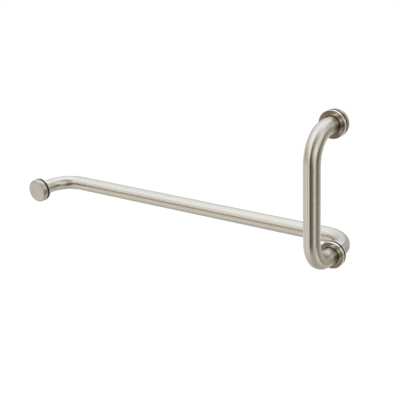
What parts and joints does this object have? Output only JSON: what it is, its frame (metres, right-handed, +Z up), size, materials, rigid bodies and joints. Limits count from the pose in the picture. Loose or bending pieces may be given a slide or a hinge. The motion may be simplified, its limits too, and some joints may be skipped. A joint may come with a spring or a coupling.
{
  "type": "shower door pull handle with towel bar",
  "caption": "Brushed pull handle and longer towel bar, both bent from round tube, clamped back to back through a glass shower door by washers, rubber gaskets and plain round caps.",
  "frame": {"origin": "middle of the hole that handle and bar share, on the clamp plane between the gaskets", "axes": "+X to the right seen from the handle's side, so the towel bar runs towards -X; +Y through the glass from the handle's side to the bar's side; +Z up along the grip"},
  "size_m": [0.489, 0.116, 0.1844],
  "materials": {
    "tube_metal": "satin brushed nickel, brushed around the tube",
    "turned_metal": "satin brushed nickel, fine turning marks",
    "gasket_rubber": "matte black rubber",
    "plug_brass": "machined brass",
    "stud_steel": "plain machined steel",
    "sleeve_plastic": "natural plastic"
  },
  "bodies": {
    "root": {"pull_handle": "tube_metal", "towel_bar": "tube_metal", "handle_top_washer": "turned_metal", "handle_bottom_washer": "turned_metal", "bar_left_washer": "turned_metal", "bar_right_washer": "turned_metal", "top_cap": "turned_metal", "left_cap": "turned_metal", "handle_top_gasket": "gasket_rubber", "handle_bottom_gasket": "gasket_rubber", "bar_left_gasket": "gasket_rubber", "bar_right_gasket": "gasket_rubber", "top_cap_gasket": "gasket_rubber", "left_cap_gasket": "gasket_rubber", "handle_top_plug": "plug_brass", "handle_bottom_plug": "plug_brass", "bar_left_plug": "plug_brass", "bar_right_plug": "plug_brass", "top_stud": "stud_steel", "left_stud": "stud_steel", "shared_stud": "stud_steel", "handle_set_screw": "stud_steel", "top_sleeve": "sleeve_plastic", "left_sleeve": "sleeve_plastic", "shared_sleeve": "sleeve_plastic"}
  },
  "joints": []
}
